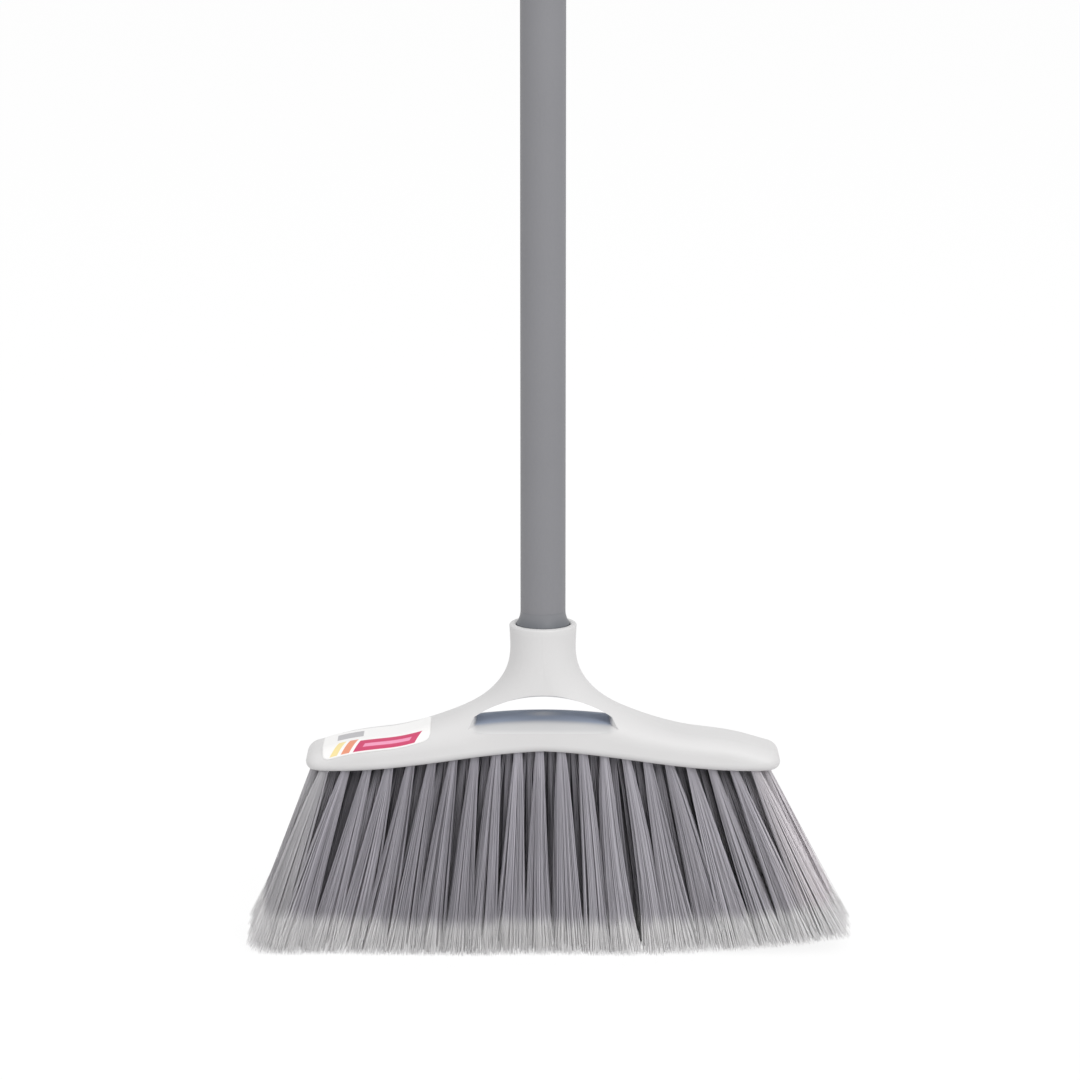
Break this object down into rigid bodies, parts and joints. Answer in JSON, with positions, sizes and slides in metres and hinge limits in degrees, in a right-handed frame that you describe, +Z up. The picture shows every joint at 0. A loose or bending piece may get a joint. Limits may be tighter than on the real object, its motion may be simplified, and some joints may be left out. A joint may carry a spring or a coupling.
{
  "type": "upright broom",
  "caption": "Upright broom: moulded head with a window under its socket, rows of flared bristle tufts held by wire anchors, and a painted steel tube handle that screws into the head.",
  "frame": {"origin": "on the floor under the handle's axis, with the broom standing on its bristle tips", "axes": "+Z up along the handle, +X along the head to the right as the picture shows it, -Y to the front"},
  "size_m": [0.3226, 0.0658, 1.386],
  "materials": {
    "head_plastic": "moulded, pale warm grey, fine satin texture",
    "bristle": "bundles of grey synthetic filament with air between them, paler at the split tips",
    "handle_paint": "thin steel tube, matt grey powder coat",
    "ferrule_plastic": "moulded, dark grey",
    "cap_plastic": "moulded, grey",
    "anchor_wire": "flat galvanised wire"
  },
  "bodies": {
    "head": {"broom_head": "head_plastic", "front_tuft_01": "bristle", "front_tuft_02": "bristle", "front_tuft_03": "bristle", "front_tuft_04": "bristle", "front_tuft_05": "bristle", "front_tuft_06": "bristle", "front_tuft_07": "bristle", "front_tuft_08": "bristle", "front_tuft_09": "bristle", "front_tuft_10": "bristle", "front_tuft_11": "bristle", "front_tuft_12": "bristle", "front_tuft_13": "bristle", "front_tuft_14": "bristle", "front_tuft_15": "bristle", "front_tuft_16": "bristle", "front_tuft_17": "bristle", "front_tuft_18": "bristle", "front_tuft_19": "bristle", "front_tuft_20": "bristle", "front_tuft_21": "bristle", "inner_front_tufts": "bristle", "inner_rear_tufts": "bristle", "rear_tuft_01": "bristle", "rear_tuft_02": "bristle", "rear_tuft_03": "bristle", "rear_tuft_04": "bristle", "rear_tuft_05": "bristle", "rear_tuft_06": "bristle", "rear_tuft_07": "bristle", "rear_tuft_08": "bristle", "rear_tuft_09": "bristle", "rear_tuft_10": "bristle", "rear_tuft_11": "bristle", "rear_tuft_12": "bristle", "rear_tuft_13": "bristle", "rear_tuft_14": "bristle", "rear_tuft_15": "bristle", "rear_tuft_16": "bristle", "rear_tuft_17": "bristle", "rear_tuft_18": "bristle", "rear_tuft_19": "bristle", "rear_tuft_20": "bristle", "rear_tuft_21": "bristle", "front_anchors": "anchor_wire", "inner_front_anchors": "anchor_wire", "inner_rear_anchors": "anchor_wire", "rear_anchors": "anchor_wire"},
    "tube": {"handle_tube": "handle_paint"},
    "handle_ends": {"handle_ferrule": "ferrule_plastic", "handle_cap": "cap_plastic"}
  },
  "joints": [
    {"name": "handle_lift", "type": "slide", "parent": "head", "child": "tube", "axis": [0, 0, 1], "range_m": [0, 0.01778]},
    {"name": "handle_turn", "type": "hinge", "parent": "tube", "child": "handle_ends", "pos_m": [0, 0, 0.169], "axis": [0, 0, 1], "range_deg": [0, 1260]}
  ],
  "couplings": [
    {"joint": "handle_turn", "follows": "handle_lift", "rad_per_m": 1236.8}
  ]
}
